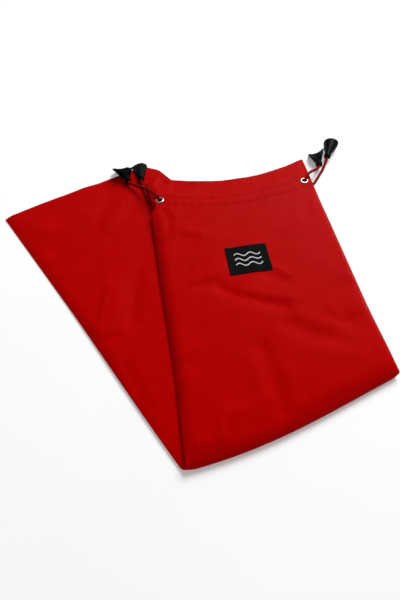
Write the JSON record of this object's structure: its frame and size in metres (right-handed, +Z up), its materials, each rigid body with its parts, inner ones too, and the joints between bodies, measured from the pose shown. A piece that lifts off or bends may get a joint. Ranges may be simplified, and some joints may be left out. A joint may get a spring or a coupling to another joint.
{
  "type": "throw rope bag",
  "caption": "Long flat drawstring sack for a throw rope, empty and folded once; corded hem with metal eyelets, flared cord-end tabs and a sewn label.",
  "frame": {"origin": "centre of the folded sack's footprint on the table, at the underside, free cords left out", "axes": "+Z up out of the table through the folded stack; +Y along the upper half's sides from the fold towards the mouth; +X across the mouth from left to right seen from above"},
  "size_m": [0.5188, 0.473, 0.0209],
  "materials": {
    "shell_cloth": "coated cloth, slight sheen",
    "thread": "matte polyester thread",
    "label_weave": "woven label",
    "label_thread": "matte thread",
    "eyelet_metal": "bright nickel plate",
    "cord": "braided cord",
    "tab_sheet": "matte black moulded sheet"
  },
  "bodies": {
    "lower_half": {"front_panel_lower": "shell_cloth", "back_panel_lower": "shell_cloth", "left_side_seam_lower": "shell_cloth", "right_side_seam_lower": "shell_cloth", "bottom_seam": "shell_cloth", "front_panel_fold": "shell_cloth", "back_panel_fold": "shell_cloth", "left_fold_seam": "shell_cloth", "right_fold_seam": "shell_cloth"},
    "upper_half": {"front_panel_upper": "shell_cloth", "back_panel_upper": "shell_cloth", "left_side_seam_upper": "shell_cloth", "right_side_seam_upper": "shell_cloth", "front_hem_facing": "shell_cloth", "back_hem_facing": "shell_cloth", "front_hem_stitching": "thread", "back_hem_stitching": "thread", "label": "label_weave", "label_stitching": "label_thread", "left_front_eyelet": "eyelet_metal", "right_front_eyelet": "eyelet_metal", "left_back_eyelet": "eyelet_metal", "right_back_eyelet": "eyelet_metal", "left_front_washer": "eyelet_metal", "right_front_washer": "eyelet_metal", "left_back_washer": "eyelet_metal", "right_back_washer": "eyelet_metal", "front_drawcord": "cord", "back_drawcord": "cord", "left_front_cord": "cord", "right_front_cord": "cord", "left_back_cord": "cord", "right_back_cord": "cord"},
    "left_front_cord_end": {"left_front_tab": "tab_sheet", "left_front_binding": "tab_sheet", "left_front_knot": "cord"},
    "right_front_cord_end": {"right_front_tab": "tab_sheet", "right_front_binding": "tab_sheet", "right_front_knot": "cord"},
    "left_back_cord_end": {"left_back_tab": "tab_sheet", "left_back_binding": "tab_sheet", "left_back_knot": "cord"},
    "right_back_cord_end": {"right_back_tab": "tab_sheet", "right_back_binding": "tab_sheet", "right_back_knot": "cord"}
  },
  "joints": [
    {"name": "bag_fold", "type": "hinge", "parent": "lower_half", "child": "upper_half", "pos_m": [-0.01698, -0.2272, 0.0078], "axis": [0.9681, 0.2504, 0], "range_deg": [0, 175], "deforming": ["front_panel_fold", "back_panel_fold", "left_fold_seam", "right_fold_seam"]},
    {"name": "left_front_cord_slide", "type": "slide", "parent": "upper_half", "child": "left_front_cord_end", "axis": [-0.2756, 0.9613, 0], "range_m": [-0.012, 0.012], "deforming": ["left_front_cord"]},
    {"name": "right_front_cord_slide", "type": "slide", "parent": "upper_half", "child": "right_front_cord_end", "axis": [0.1908, 0.9816, 0], "range_m": [-0.012, 0.012], "deforming": ["right_front_cord"]},
    {"name": "left_back_cord_slide", "type": "slide", "parent": "upper_half", "child": "left_back_cord_end", "axis": [-0.0175, 0.9998, 0], "range_m": [-0.012, 0.012], "deforming": ["left_back_cord"]},
    {"name": "right_back_cord_slide", "type": "slide", "parent": "upper_half", "child": "right_back_cord_end", "axis": [0.454, 0.891, 0], "range_m": [-0.012, 0.012], "deforming": ["right_back_cord"]}
  ],
  "couplings": [
    {"joint": "right_front_cord_slide", "follows": "left_front_cord_slide", "ratio": -1},
    {"joint": "right_back_cord_slide", "follows": "left_back_cord_slide", "ratio": -1}
  ]
}
